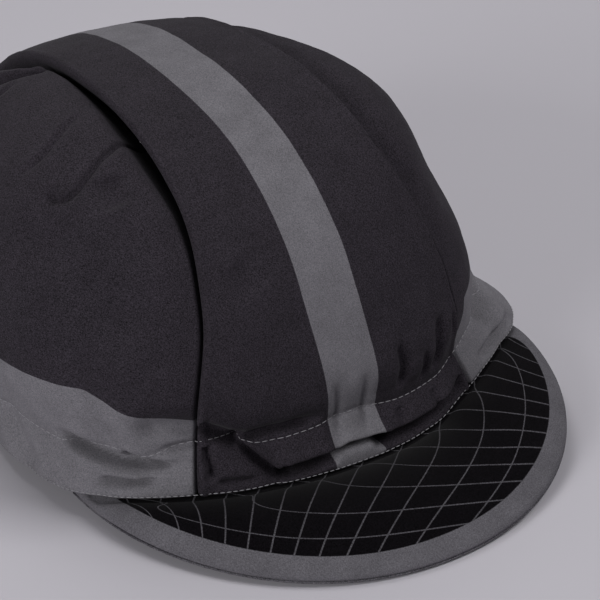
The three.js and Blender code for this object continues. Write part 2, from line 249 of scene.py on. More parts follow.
# The numbers after a path are in the order of the fields of Fold
CENTRE_FOLDS = (
    Fold("fold beside the seam", ((-29.6, 0.145), (-29.6, 0.108), (-29.0, 0.078), (-29.0, 0.04)),
         1.2, 2.8, 1.6, 0.6, 0.9, 0.05, 0.2),
    Fold("pucker by the seam", ((-30.6, 0.215), (-29, 0.195), (-26.6, 0.176), (-23.2, 0.143)),
         2.4, 5.0, 2.0, 0.0, 0.3, 0.05, 0.1),
    Fold("pucker above the stitches",
         ((-22.4, 0.153), (-17, 0.163), (-12.8, 0.168), (-9, 0.174), (-4, 0.185)),
         2.4, 4.6, 2.0, 0.0, 0.0, 0.0, 0.4, 1.0),
    Fold("front hem fold", ((-24, 0.15), (-21.2, 0.116), (-19.4, 0.088), (-17, 0.054), (-14.4, 0.03)),
         0.6, 3.8, 1.2, 2.2, 0.0, 0.05, 0.1, 2.2),
    Fold("patch edge", ((-28.4, 0.04), (-24.8, 0.036), (-20, 0.03)), 1.2, 1.4, 2.0, 0.4, 0.0),
    Fold("recess under the hem", ((-16.4, 0.04), (-11.6, 0.045), (-7.8, 0.05), (-3.0, 0.056)),
         1.9, 11.0, 5.0, 3.2, 0.0, 0.25, 0.2, 2.2),
    Fold("crease under the roll",
         ((-6, 0.055), (-2, 0.064), (0, 0.069), (2.8, 0.066), (6.4, 0.062), (10, 0.055)),
         0.7, 4.0, 1.5, 1.6, 0.3, 0.1, 0.1, 1.1),
    Fold("undercut of the hem", ((5, 0.056), (11, 0.048), (20, 0.044), (32, 0.042)),
         1.9, 11.0, 5.0, 3.0, 0.0, 0.2, 0.3, 2.2),
    Fold("gather 1", ((-2.6, 0.29), (-1.8, 0.2), (-1.5, 0.075)), 1.4, 1.1, 2.0, 0.3, 0.3),
    Fold("gather 2", ((4.6, 0.29), (4.8, 0.2), (4.6, 0.07)), 1.3, 1.1, 2.0, 0.3, 0.3),
    Fold("gather 3", ((13.5, 0.33), (14.5, 0.25), (13.8, 0.17)), 1.8, 2.0, 1.5, 0.6, 0.6),
    Fold("gather 4", ((20.5, 0.26), (20.5, 0.2), (19.5, 0.155)), 1.3, 1.4, 1.5, 0.6, 0.5),
    Fold("gather 5", ((26, 0.33), (25, 0.24), (23.5, 0.155)), 1.8, 2.4, 1.4, 0.7, 0.6),
    Fold("gather 6", ((31, 0.3), (30, 0.2)), 1.4, 1.4, 1.6, 0.4, 0.4),
    Fold("hem gather 3", ((13, 0.125), (12.5, 0.07)), 1.5, 1.2, 2.0, 0.3, 0.3),
    Fold("hem gather 4", ((22.5, 0.115), (22, 0.06)), 1.6, 1.2, 2.0, 0.3, 0.3),
    Fold("front hollow", ((-19.6, 0.66), (-15, 0.57)), 6.0, 1.2),
)

SIDE_FOLDS = (
    Fold("main crease",
         ((-45.5, 0.948), (-47, 0.937), (-49, 0.922), (-50.5, 0.903), (-52.5, 0.881), (-54, 0.852),
          (-55, 0.834), (-56, 0.818), (-57.5, 0.804), (-59, 0.796), (-61, 0.791), (-63.5, 0.791)),
         1.0, 2.6, 1.1, 0.0, 0.4, 0.0, 0.2, 0.5),
    Fold("end of the main crease", ((-60, 0.793), (-64, 0.795)), 1.3, 1.3, 2.0),
    Fold("hollow under the main crease", ((-49, 0.86), (-47, 0.83), (-44.5, 0.79)), 4.2, 2.2),
    Fold("second crease",
         ((-67, 0.955), (-68, 0.931), (-68.5, 0.908), (-69.5, 0.872), (-72, 0.836), (-75, 0.795)),
         1.3, 1.5, 1.3, 0.0, 0.5, 0.4, 0.3, 0.7),
    Fold("valley above the strip",
         ((-150, 0.84), (-139.5, 0.885), (-137, 0.905), (-133, 0.93), (-127, 0.952)),
         2.8, 7.0, 3.0, 0.0, 0.0, 0.0, 0.1),
    Fold("valley below the strip",
         ((-131, 0.86), (-123.5, 0.901), (-121.5, 0.918), (-120, 0.932), (-118.6, 0.947), (-118, 0.958)),
         1.8, 6.5, 2.0, 1.6, 0.3, 0.0, 0.15),
    Fold("line below the strip", ((-116, 0.87), (-112.8, 0.9), (-113.6, 0.918), (-114, 0.93)),
         0.9, 1.6, 1.3, 0.3, 0.3, 0.0, 0.4),
    Fold("long hollow", ((-72, 0.72), (-56, 0.68), (-48.5, 0.6), (-41, 0.505), (-37, 0.45)), 9.0, 2.6),
    Fold("right hem fold",
         ((-59.6, 0.175), (-56.6, 0.158), (-53.6, 0.137), (-50.6, 0.121), (-46.4, 0.104), (-42.8, 0.092),
          (-38.5, 0.084)),
         2.0, 4.8, 1.5, 0.6, 1.4, 0.25, 0.2, 1.0),
    Fold("right hem fold, upper", ((-45.5, 0.133), (-42.2, 0.113), (-39.8, 0.103), (-34.5, 0.093)),
         0.9, 4.4, 1.5, 1.4, 0.5, 0.2, 0.35, 1.6),
    Fold("right hem fold, low", ((-49.5, 0.055), (-45.8, 0.056), (-42, 0.05), (-38, 0.053)),
         1.0, 3.8, 1.6, 1.1, 0.6, 0.3, 0.3, 1.7),
    Fold("right hem turn", ((-77, 0.17), (-74.5, 0.135), (-68.6, 0.068), (-63.1, 0.007)), 4.0, 2.0, 2.0),
    Fold("pinch under the print", ((-43, 0.2), (-37.4, 0.222), (-28, 0.2)),
         3.6, 3.4, 2.0, 0.0, 0.0, 0.3, 0.0),
    Fold("pinch under the stitches", ((-38.5, 0.146), (-35, 0.147), (-28, 0.145)),
         1.3, 1.7, 1.6, 0.0, 0.4, 0.3, 0.0),
    Fold("far hem fold", ((60, 0.3), (55, 0.2), (49, 0.13), (43.6, 0.094)), 2.6, 7.5, 1.5, 2.4, 0.6),
    Fold("far hem fold, low", ((37, 0.04), (44, 0.035), (56, 0.035)), 1.5, 2.8, 1.6, 0.9, 0.6),
    Fold("left back dent", ((118, 0.6), (104, 0.42)), 9.0, 2.1),
)

BACK_FOLDS = (
    Fold("back dent", ((172, 0.62), (158, 0.44)), 8.0, 1.8),
)

FOLDS = {
    Cut.PLAIN: (),
    Cut.CENTRE: (*CENTRE_FOLDS, *BACK_FOLDS),
    Cut.SIDES: (*SIDE_FOLDS, *BACK_FOLDS),
}


@dataclass
class CrownShape:
    """The soft crown as a surface: a plain dome with swells, folds and a lifted front hem.

    The reach of a fold and the start and length of its lips are in widths of its groove.
    """

    front_reach: float = 84.9
    back_reach: float = 108.0
    half_width: float = 77.3
    height: float = 101.6
    top_lean: float = 2.7
    front_squareness: float = 2.73
    back_squareness: float = 2.18
    hem_squareness: float = 2.76
    top_squareness: float = 2.88
    top_swell_reach: float = 55.0
    top_swell_spread: float = 45.0
    stitch_pinch: float = 3.1
    stitch_pinch_spread: float = 9.0
    stitch_pull: float = 0.6
    stitch_pull_spread: float = 1.3
    panel_half_width: float = 45.0
    seam_dip: float = 2.4
    seam_dip_spread: float = 7.0
    inner_ease: float = 2.6
    fold_reach: float = 9.0
    fold_steps: int = 6
    lip_start: float = 1.2
    lip_length: float = 3.0
    lip_scale: float = 1.8
    tuck_squareness: int = 4
    crumple: float = 0.45
    crumple_span: float = 26.0
    crumple_shift: tuple[float, float, float] = (3.37, 1.61, 5.23)
    crumple_roughness: float = 0.9
    crumple_scale_step: float = 2.2
    crumple_octaves: int = 3
    seam_samples: int = 360
    seam_shares: dict[Side, Curve] = field(default_factory=lambda: {
        Side.RIGHT: curve_through((
            (0, 0.975), (0.15, 0.79), (0.3, 0.695), (0.5, 0.68), (0.7, 0.64), (1, 0.64),
        )),
        Side.LEFT: curve_through((
            (0, 1.01), (0.15, 0.94), (0.3, 0.755), (0.5, 0.665), (0.7, 0.675), (1, 0.675),
        )),
    })
    dip_share: Curve = field(default_factory=lambda: curve_through((
        (0, 0.2), (0.12, 0.35), (0.22, 0.8), (0.29, 1.3), (0.36, 1.5), (0.43, 1.2), (0.52, 0.7),
        (0.6, 2.3), (0.7, 2.8), (0.8, 1.2), (1, 0.3),
    )))
    seam_overhang: float = 0.14
    overhang_power: int = 7
    tuck_depths: dict[Side, Curve] = field(default_factory=lambda: {
        Side.RIGHT: curve_through((
            (0, 0.8), (0.06, 1.6), (0.15, 2.4), (0.22, 3.2), (0.27, 6.0), (0.32, 8.5), (0.4, 8.5),
            (0.45, 7.0), (0.5, 5.5), (0.56, 6.0), (0.64, 6.0), (0.74, 2.0), (1, 1.0),
        )),
        Side.LEFT: curve_through(((0, 0.8), (1, 0.8))),
    })
    tuck_widths: dict[Side, Curve] = field(default_factory=lambda: {
        Side.RIGHT: curve_through((
            (0, 0.7), (0.1, 0.9), (0.2, 1.2), (0.26, 2.4), (0.3, 4.0), (0.34, 4.8), (0.38, 4.6),
            (0.42, 3.6), (0.46, 2.6), (0.5, 1.9), (0.56, 2.2), (1, 1.2),
        )),
        Side.LEFT: curve_through(((0, 0.7), (1, 0.7))),
    })
    hem_lift: Curve = field(default_factory=lambda: curve_through((
        (-180, 0), (-100, 0), (-72, 5.2), (-57, 5.8), (-45, 7.8), (-33, 8.1), (-20, 6.6), (-5, 4.6),
        (8, 4.2), (22, 5.8), (31, 9.6), (45, 12.6), (60, 11.5), (100, 0), (180, 0),
    )))
    stitch_height: Curve = field(default_factory=lambda: curve_through((
        (-90, 15.5), (-72, 16.2), (-58, 14.7), (-49, 15), (-41, 12.6), (-36, 14.8), (-30, 16.3),
        (-25, 15.6), (-18, 13.8), (-10.6, 14.9), (1.9, 16.6), (7.6, 15.8), (14.5, 14.3), (21, 13.7),
        (30, 12.7), (60, 14.0), (120, 14.8),
    )))

    def section_squareness(self, angle: Array) -> Array:
        """Squareness of the section at an angle over the crown, in radians."""
        return self.hem_squareness + (self.top_squareness - self.hem_squareness) * np.sin(angle) ** 2

    def dome_point(self, angle: Array, x: Array) -> Array:
        """Point of the plain dome.

        Args:
            angle: Angle over the crown in radians, 0 at the front hem and half a turn at the back one.
            x: Distance from the middle line, positive on the wearer's left.

        Returns:
            Points, with their coordinates in the last axis.
        """
        front = angle <= math.pi / 2
        reach = np.where(front, self.front_reach, self.back_reach)
        power = 2 / np.where(front, self.front_squareness, self.back_squareness)
        squareness = self.section_squareness(angle)
        share = np.minimum(np.abs(x) / self.half_width, 1.0)
        radius = (1 - share ** squareness) ** (1 / squareness)
        level = np.cos(angle)
        y = -reach * np.sign(level) * np.abs(level) ** power * radius
        z = self.height * np.abs(np.sin(angle)) ** power * radius
        return np.stack(np.broadcast_arrays(x, y, z), axis=-1)

    def dome_measure(self, across: Array, ahead: Array, height: Array) -> Array:
        """How far out a place lies, 1 on the plain dome; all three are shares of the crown's reaches."""
        squareness = np.where(ahead > 0, self.front_squareness, self.back_squareness)
        angle = np.arctan2(height ** (squareness / 2), np.abs(ahead) ** (squareness / 2))
        section = self.section_squareness(angle)
        profile = (np.abs(ahead) ** squareness + height ** squareness) ** (section / squareness)
        return profile + np.abs(across) ** section

    def dome_at(self, direction: Array, height: Array) -> Array:
        """Point of the plain dome in a direction from the front, at a share of the crown's height."""
        direction, height = np.broadcast_arrays(np.asarray(direction, float), np.asarray(height, float))
        sine = np.sin(np.radians(direction))
        cosine = np.cos(np.radians(direction))
        ahead = np.where(cosine > 0, cosine, cosine * self.front_reach / self.back_reach)

        def outside(scale: Array) -> Array:
            """Which places lie outside the dome at these shares of its reach."""
            return self.dome_measure(scale * sine, scale * ahead, height) > 1

        scale = last_inside(outside, direction, SEARCH_REACH)
        reach = np.where(cosine > 0, self.front_reach, self.back_reach)
        x = self.half_width * scale * sine
        y = -reach * scale * ahead
        return np.stack([x, y, self.height * height], axis=-1)

    def onto_dome(self, points: Array) -> Array:
        """Points moved straight out from the middle onto the plain dome."""
        x, y, z = points[..., 0], points[..., 1], points[..., 2]
        reach = np.where(y < 0, self.front_reach, self.back_reach)

        def outside(scale: Array) -> Array:
            """Which points lie outside the dome once they are scaled."""
            across = scale * x / self.half_width
            return self.dome_measure(across, -scale * y / reach, scale * z / self.height) > 1

        return points * last_inside(outside, x, SEARCH_REACH)[..., None]

    def direction_of(self, points: Array) -> Array:
        """Direction of each point from the front, in degrees."""
        return np.degrees(np.arctan2(points[..., 0] / self.half_width, -points[..., 1] / self.front_reach))

    def outward(self, points: Array) -> Array:
        """Unit vectors that point out of the plain dome."""
        normal = points / np.array([self.half_width ** 2, self.front_reach ** 2, self.height ** 2])
        return normal / np.linalg.norm(normal, axis=-1, keepdims=True)

    def fold_depth(self, points: Array, fold: Fold, ease: float) -> Array:
        """How far a fold sinks the cloth at each point; an ease over 1 widens it and takes its lips away."""
        places = np.array(fold.path, float)
        corners = np.arange(len(places))
        steps = np.linspace(0, len(places) - 1, self.fold_steps * (len(places) - 1) + 1)
        smooth = [curve_through(tuple(zip(corners, places[:, k]))) for k in (0, 1)]
        if len(places) == 2:
            smooth = [lambda t, k=k: np.interp(t, corners, places[:, k]) for k in (0, 1)]
        run = self.dome_at(smooth[0](steps), smooth[1](steps))
        total = np.zeros(len(points))
        left_width = fold.width * ease
        right_width = (fold.right_width or fold.width) * ease
        reach = self.fold_reach * max(left_width, right_width)
        near = np.all((points > run.min(0) - reach) & (points < run.max(0) + reach), axis=1)
        if not near.any():
            return total
        distance, share, away = nearest_on_run(points[near], run)
        tangent = np.gradient(run, axis=0)
        at = np.clip(np.round(share * (len(run) - 1)).astype(int), 0, len(run) - 1)
        left = np.cross(self.outward(points[near]), tangent[at])
        lefthand = np.sign((left * away).sum(-1))
        side = lefthand * distance / np.where(lefthand > 0, left_width, right_width)
        groove = fold.depth * np.exp(-np.abs(side) ** fold.sharpness)
        bulge = (1 - bell(side / self.lip_start)) * np.exp(-np.abs(side) / self.lip_length) * self.lip_scale
        lips = np.where(side > 0, fold.left_lip, fold.right_lip) * bulge * (ease <= 1)
        fade = np.ones_like(share)
        for way, length in ((share, fold.fade_in), (1 - share, fold.fade_out)):
            if length > 0:
                fade = fade * smoothstep(way, 0.0, length)
        total[near] = (groove - lips) * fade
        return total

    def crumples(self, points: Array) -> Array:
        """Small soft unevenness that every worn cotton panel has."""
        span = self.crumple_span
        shift = Vector(self.crumple_shift)
        kind = (self.crumple_roughness, self.crumple_scale_step, self.crumple_octaves)
        values = [
            noise.fractal(Vector(point) / span + shift, *kind, noise_basis="PERLIN_NEW")
            for point in points
        ]
        return self.crumple * np.array(values)

    def swell(self, points: Array, cut: Cut, ease: float = 1.0) -> Array:
        """How far a panel of the soft crown stands out from the plain dome at each point, its folds eased."""
        flat = points.reshape(-1, 3)
        direction = self.direction_of(flat)
        height = flat[:, 2] / self.height
        rise = flat[:, 2] - self.stitch_height(direction)
        swell = -self.stitch_pinch * bell(rise / self.stitch_pinch_spread)
        swell -= self.stitch_pull * bell(rise / self.stitch_pull_spread)
        for row in SIDE_SWELLS:
            turn = wrapped(direction - row.direction)
            swell += row.amount * bell(turn / row.spread) * bell((height - row.height) / row.rise)
        for heading, amount in TOP_SWELLS:
            x = self.top_swell_reach * math.sin(math.radians(heading))
            y = -self.top_swell_reach * math.cos(math.radians(heading))
            swell += amount * bell(np.hypot(flat[:, 0] - x, flat[:, 1] - y) / self.top_swell_spread)
        for fold in FOLDS[cut]:
            swell -= self.fold_depth(flat, fold, ease)
        swell += self.crumples(flat)
        return swell.reshape(points.shape[:-1])

    def lay(self, points: Array, depth: Array, cut: Cut, turned: Array | None = None) -> Array:
        """Points of the soft crown over points of the plain dome.

        Args:
            points: Points of the plain dome.
            depth: How far inside the outer face each one lies.
            cut: The panel that the points are on.
            turned: For each row of points, 1 where it lies in a turned-up hem and 0 outside.

        Returns:
            The points in millimetres, before the cap is moved to its place.
        """
        height = points[..., 2] / self.height
        swell = self.swell(points, cut)
        if turned is not None:
            inside = turned > 0
            eased = self.swell(points[inside], cut, self.inner_ease)
            swell[inside] += turned[inside, None] * (eased - swell[inside])
        result = points + self.outward(points) * (swell - depth)[..., None]
        result[..., 1] += self.top_lean * height ** 2
        result[..., 2] += self.hem_lift(self.direction_of(points)) * (1 - height)
        return result

    def beside(self, curves: dict[Side, Curve], across: Array, along: Array) -> Array:
        """Values along the seams, of the right one where across is negative and of the left one elsewhere."""
        return np.where(across < 0, curves[Side.RIGHT](along), curves[Side.LEFT](along))

    def lay_line(self, points: Array) -> Array:
        """Points of the soft crown's outer face over a line that crosses its panels."""
        x, y, z = points[:, 0], points[:, 1], points[:, 2]
        squareness = np.where(y < 0, self.front_squareness, self.back_squareness)
        reach = np.where(y < 0, self.front_reach, self.back_reach)
        rise = (z / self.height) ** (squareness / 2)
        angle = np.arctan2(rise, np.abs(y / reach) ** (squareness / 2))
        along = np.where(y < 0, angle, math.pi - angle) / math.pi
        central = np.abs(x) < self.beside(self.seam_shares, x, along) * self.panel_half_width
        flush = np.zeros(len(points))
        centre = self.lay(points, flush, Cut.CENTRE)
        return np.where(central[:, None], centre, self.lay(points, flush, Cut.SIDES))

    def seam_point(self, side: Side, along: Array, inset: float) -> Array:
        """Points of a seam; inset is negative on the side panel's side of it."""
        width = self.seam_shares[side](along) * self.panel_half_width - inset
        return self.dome_point(along * math.pi, side.value * width)

    def seam_along_at(self, side: Side, z: Array, inset: float, back: bool) -> Array:
        """Places along a seam where it reaches heights, in its front or its back half."""

        def above(along: Array) -> Array:
            """Which places of the seam, counted from its front or its back end, lie above the heights."""
            return self.seam_point(side, 1 - along if back else along, inset)[..., 2] > z

        along = last_inside(above, z, 0.5)
        return 1 - along if back else along

    def seam_run(self, side: Side) -> Array:
        """Closely spaced points of a seam, from front to back."""
        return self.seam_point(side, np.linspace(0, 1, self.seam_samples + 1), 0.0)


@dataclass
class Hem:
    """The lower edge of a crown panel, turned up inside as far as the stitch row."""

    turn_up: float = 15.4
    fold_radius: float = 1.3
    fine_step: float = 0.5
    fine_top: float = 22.0
    step: float = 1.0
    fold_steps: int = 9

    def turned(self, depths: Array) -> Array:
        """Share of the way from the outer face to the turned-up layer, for the depths of rows."""
        return np.clip(depths / (2 * self.fold_radius), 0.0, 1.0)

    def path(self, top: float) -> tuple[Array, Array]:
        """Heights and depths of the rows from the raw edge inside, round the fold and up to a height.

        Args:
            top: Height at which the rows end.

        Returns:
            Heights above the hem and depths inside the outer face.
        """
        radius = self.fold_radius
        inside = np.linspace(self.turn_up, radius, int((self.turn_up - radius) / self.fine_step) + 1)
        turn = np.linspace(0, math.pi, self.fold_steps)[1:-1]
        fine = np.arange(radius, self.fine_top, self.fine_step)
        coarse = np.linspace(self.fine_top, top, int((top - self.fine_top) / self.step) + 1)
        outside = np.concatenate([fine, coarse])
        heights = np.concatenate([inside, radius - radius * np.sin(turn), outside])
        depths = np.concatenate([
            np.full_like(inside, 2 * radius),
            radius + radius * np.cos(turn),
            np.zeros_like(outside),
        ])
        return heights, depths


def leaning(count: int, lean: float) -> Array:
    """Shares from 0 to 1 that lie closer together towards 0; a lean of 0 spaces them evenly."""
    share = np.linspace(0, 1, count)
    return share * (1 - lean + lean * share)


def spaced(insets: tuple[float, ...], length: float, count: int, lean: float) -> Array:
    """Shares from 0 to 1 along a length: at the given insets from both ends, and leaning to 0 between."""
    ends = np.array(insets) / length
    middle = ends[-1] + (1 - 2 * ends[-1]) * leaning(count, lean)
    return np.concatenate([ends[:-1], middle, 1 - ends[-2::-1]])


def grid_lengths(points: Array, axis: int) -> Array:
    """Length run along an axis of a grid of points, from its start."""
    steps = np.linalg.norm(np.diff(points, axis=axis), axis=-1)
    shape = list(points.shape[:-1])
    shape[axis] = 1
    return np.concatenate([np.zeros(shape), np.cumsum(steps, axis=axis)], axis=axis)


def object_of(shape: bmesh.types.BMesh, name: str) -> bpy.types.Object:
    """Turns a finished shape into an object of the scene and frees it."""
    mesh = bpy.data.meshes.new(name)
    shape.to_mesh(mesh)
    shape.free()
    made = bpy.data.objects.new(name, mesh)
    bpy.context.collection.objects.link(made)
    return made


@dataclass
class ClothPiece:
    """A sheet of cloth that is laid over a surface as a fine grid and given its thickness."""

    name: str
    node: str
    slot: str
    thickness: float
    origin: Vector
    held: str = "gathered"

    def sheet(self, points: Array, marks: dict[str, Array]) -> bpy.types.Object:
        """Makes the sheet's object from a grid of places.

        Args:
            points: Places in millimetres, as rows, columns and coordinates, wound so that it faces outwards.
            marks: Named values to keep at each place, for the print of the cloth.

        Returns:
            The object, without thickness or material.
        """
        rows, columns = points.shape[:2]
        shape = bmesh.new()
        bmesh.ops.create_grid(shape, x_segments=columns - 1, y_segments=rows - 1, size=1.0)
        piece = object_of(shape, self.name)
        mesh = piece.data
        spots = np.empty(len(mesh.vertices) * 3)
        mesh.vertices.foreach_get("co", spots)
        spots = (spots.reshape(-1, 3) + 1) / 2
        column = np.round(spots[:, 0] * (columns - 1)).astype(int)
        row = np.round(spots[:, 1] * (rows - 1)).astype(int)
        places = points[row, column] * MM + np.array(self.origin)
        mesh.vertices.foreach_set("co", places.ravel())
        for name, values in marks.items():
            kind = "FLOAT_VECTOR" if values.ndim == 3 else "FLOAT"
            attribute = mesh.attributes.new(name, kind, "POINT")
            key = "vector" if values.ndim == 3 else "value"
            attribute.data.foreach_set(key, values[row, column].ravel())
        mesh.shade_smooth()
        mesh.update()
        return piece

    def finish(self, piece: bpy.types.Object, face: bpy.types.Material, back: bpy.types.Material) -> None:
        """Gives the cloth its thickness, its two faces and its place in the frame.

        Args:
            piece: The sheet's object.
            face: Material of the outer face.
            back: Material of the inner face.
        """
        piece.data.materials.append(face)
        piece.data.materials.append(back)
        solid = piece.modifiers.new("cloth thickness", "SOLIDIFY")
        solid.thickness = self.thickness * MM
        solid.offset = -1.0
        solid.use_even_offset = False
        solid.material_offset = 1
        solid.material_offset_rim = 0
        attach(piece, "root")
        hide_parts(self.node)

    def grid_and_marks(self) -> tuple[Array, dict[str, Array]]:
        """The grid of places, wound so that it faces outwards, and the values to keep at each of them."""
        raise NotImplementedError

    def build(self, face: bpy.types.Material, back: bpy.types.Material) -> bpy.types.Object:
        """Builds the cloth and dresses it."""
        points, marks = self.grid_and_marks()
        piece = self.sheet(points, marks)
        self.finish(piece, face, back)
        return piece


@dataclass
class CrownPanel(ClothPiece):
    """A panel of the crown, with its turned-up hem and its edges rolled into the seams."""

    crown: CrownShape = field(default_factory=CrownShape)
    hem: Hem = field(default_factory=Hem)
    seam_gap: float = 0.3
    band_top: float = 37.0
    edge_insets: tuple[float, ...] = (0.0, 0.12, 0.35, 0.7, 1.15, 1.7, 2.4, 3.2)
    edge_radius: float = 2.3
    allowance: float = 9.0


@dataclass
class CentrePanel(CrownPanel):
    """The long panel from the peak over the top to the back hem, with its printed stripe."""

    columns: int = 92
    upper_step: float = 1.0
    welt: float = 0.5
    welt_inset: float = 1.9
    welt_spread: float = 1.1
    undercut: float = 3.1
    run_samples: int = 4000
    levelling_rounds: int = 8
    stripe_front: float = 7.95
    stripe_back: float = 9.74
    stripe_middle: Curve = field(default_factory=lambda: curve_through((
        (0, 2.8), (0.15, -0.1), (0.3, -0.1), (0.5, -2.9), (0.7, -1.2), (1, 0),
    )))

    def row_angles(self) -> tuple[Array, Array]:
        """Angles over the crown of the rows' middles, and the depths of the rows."""
        crown = self.crown
        heights, depths = self.hem.path(self.band_top)
        front = np.arcsin((heights / crown.height) ** (crown.front_squareness / 2))
        back = math.pi - np.arcsin((heights / crown.height) ** (crown.back_squareness / 2))
        fine = np.linspace(front[-1], back[-1], self.run_samples)
        line = crown.dome_point(fine, np.zeros_like(fine))
        run = grid_lengths(line[:, None, :], 0)[:, 0]
        marks = np.linspace(0, run[-1], int(run[-1] / self.upper_step) + 1)[1:-1]
        upper = np.interp(marks, run, fine)
        return (
            np.concatenate([front, upper, back[::-1]]),
            np.concatenate([depths, np.zeros_like(upper), depths[::-1]]),
        )

    def level_angle(self, angle: Array, x: Array, upright: Array) -> Array:
        """Angle at which a row keeps its middle's height, or its middle's angle where upright is 1."""
        crown = self.crown
        front = angle <= math.pi / 2
        squareness = np.where(front, crown.front_squareness, crown.back_squareness)
        section = crown.section_squareness(angle)
        radius = (1 - (np.abs(x) / crown.half_width) ** section) ** (1 / section)
        height = np.abs(np.sin(angle)) ** (2 / squareness) * radius ** (upright - 1)
        tilted = np.arcsin(np.minimum(height, 1.0) ** (squareness / 2))
        return np.where(front, tilted, math.pi - tilted)

    def grid(self) -> tuple[Array, Array, Array]:
        """The panel's places on the soft crown and on the plain dome, with their share of the way over it."""
        crown = self.crown
        angles, row_depths = self.row_angles()
        edge = np.array(self.edge_insets)
        even = np.linspace(-1, 1, self.columns)[1:-1]
        share = np.concatenate([-np.ones(len(edge) + 1), even, np.ones(len(edge) + 1)])
        rolled = np.concatenate([[self.undercut], edge])
        inset = np.concatenate([rolled, np.full_like(even, edge[-1]), rolled[::-1]])
        ends = np.zeros_like(share)
        ends[[0, -1]] = 1.0
        angle = angles[:, None]
        heights = crown.dome_point(angles, np.zeros_like(angles))[:, 2]
        upright = smoothstep(heights, self.band_top, 2 * self.band_top)
        tilted = np.broadcast_to(angle, (len(angles), len(share)))
        for _ in range(self.levelling_rounds):
            along = tilted / math.pi
            half = crown.beside(crown.seam_shares, share, along) * crown.panel_half_width - self.seam_gap / 2
            tucks = crown.beside(crown.tuck_depths, share, along)
            half = half + crown.seam_overhang * tucks * np.abs(share) ** crown.overhang_power
            x = share * (half - edge[-1]) + np.sign(share) * (edge[-1] - inset)
            tilted = self.level_angle(angle, x, upright[:, None])
        wall = ends * (self.allowance + tucks)
        depth = row_depths[:, None] + wall + rounded_edge(inset, self.edge_radius)
        rise = self.welt * bell((inset - self.welt_inset) / self.welt_spread) * (inset < edge[-1])
        base = crown.dome_point(tilted, x)
        return crown.lay(base, depth - rise, Cut.CENTRE, self.hem.turned(row_depths)), base, tilted / math.pi

    def grid_and_marks(self) -> tuple[Array, dict[str, Array]]:
        """The panel's grid, and how far inside the printed stripe each place lies."""
        points, base, along = self.grid()
        half = self.stripe_front + (self.stripe_back - self.stripe_front) * along
        return points, {"print_edge_mm": half - np.abs(base[..., 0] - self.stripe_middle(along))}


@dataclass
class SidePanel(CrownPanel):
    """A side of the crown, sunk a little beside its seam, with a printed lower zone."""

    side: Side = Side.RIGHT
    columns: int = 204
    column_lean: float = 0.6
    upper_rows: int = 105
    row_lean: float = 0.45
    top_start: float = 0.29
    top_end: float = 0.71
    edge_radius: float = 1.1
    hem_length: float = 220.0
    upper_length: float = 90.0
    row_clearance: float = 0.004
    print_rows: tuple[Place, ...] = ()

    def base_grid(self) -> tuple[Array, Array]:
        """The panel's places on the plain dome, and the depths of its rows."""
        crown = self.crown
        inset = -self.seam_gap / 2
        heights, depths = self.hem.path(self.band_top)
        u = spaced(self.edge_insets, self.hem_length, self.columns, self.column_lean)
        start = crown.seam_along_at(self.side, heights, inset, False)
        end = crown.seam_along_at(self.side, heights, inset, True)
        first = np.abs(crown.direction_of(crown.seam_point(self.side, start, inset)))
        last = np.abs(crown.direction_of(crown.seam_point(self.side, end, inset)))
        direction = self.side.value * (first[:, None] + (last - first)[:, None] * u)
        band = crown.dome_at(direction, np.broadcast_to(heights[:, None] / crown.height, direction.shape))
        even = 1 - leaning(self.upper_rows, self.row_lean)[-2:0:-1]
        close = 1 - np.array(self.edge_insets[::-1]) / self.upper_length
        v = np.concatenate([even[even < close[0] - self.row_clearance], close])[:, None, None]
        near = crown.seam_point(self.side, start[-1] + (self.top_start - start[-1]) * v[:, 0, 0], inset)
        far = crown.seam_point(self.side, end[-1] + (self.top_end - end[-1]) * v[:, 0, 0], inset)
        high = crown.seam_point(self.side, self.top_start + (self.top_end - self.top_start) * u, inset)
        across = u[None, :, None]
        rise = (1 - v) * band[-1][None] + v * high[None]
        run = (1 - across) * near[:, None] + across * far[:, None]
        low_corners = (1 - across) * band[-1, 0] + across * band[-1, -1]
        high_corners = (1 - across) * high[0] + across * high[-1]
        upper = crown.onto_dome(rise + run - (1 - v) * low_corners - v * high_corners)
        row_depths = np.concatenate([depths, np.zeros(len(upper))])
        return np.concatenate([band, upper]), row_depths

    def grid(self) -> tuple[Array, Array]:
        """The panel's places on the soft crown and on the plain dome."""
        crown = self.crown
        base, row_depths = self.base_grid()
        base = np.pad(base, ((0, 1), (1, 1), (0, 0)), mode="reflect", reflect_type="odd")
        row_depths = np.pad(row_depths, (0, 1), mode="edge")
        wall = np.zeros(base.shape[:2])
        wall[:, [0, -1]] = self.allowance
        wall[-1] = self.allowance
        reach, share, _ = nearest_on_run(base.reshape(-1, 3), crown.seam_run(self.side))
        reach = reach.reshape(base.shape[:2])
        share = share.reshape(base.shape[:2])
        dip = crown.seam_dip * crown.dip_share(share) * bell(reach / crown.seam_dip_spread)
        tuck_reach = reach / crown.tuck_widths[self.side](share)
        dip = dip + crown.tuck_depths[self.side](share) * np.exp(-tuck_reach ** crown.tuck_squareness)
        depth = row_depths[:, None] + wall + dip
        depth = depth + rounded_edge(np.maximum(reach - self.seam_gap / 2, 0.0), self.edge_radius)
        return crown.lay(base, depth, Cut.SIDES, self.hem.turned(row_depths)), base

    def grid_and_marks(self) -> tuple[Array, dict[str, Array]]:
        """The panel's grid, and how far inside the printed lower zone each place lies."""
        points, base = self.grid()
        edge = curve_through(self.print_rows)(np.abs(self.crown.direction_of(base))) - base[..., 2]
        order = slice(None, None, self.side.value)
        return points[:, order], {"print_edge_mm": edge[:, order]}


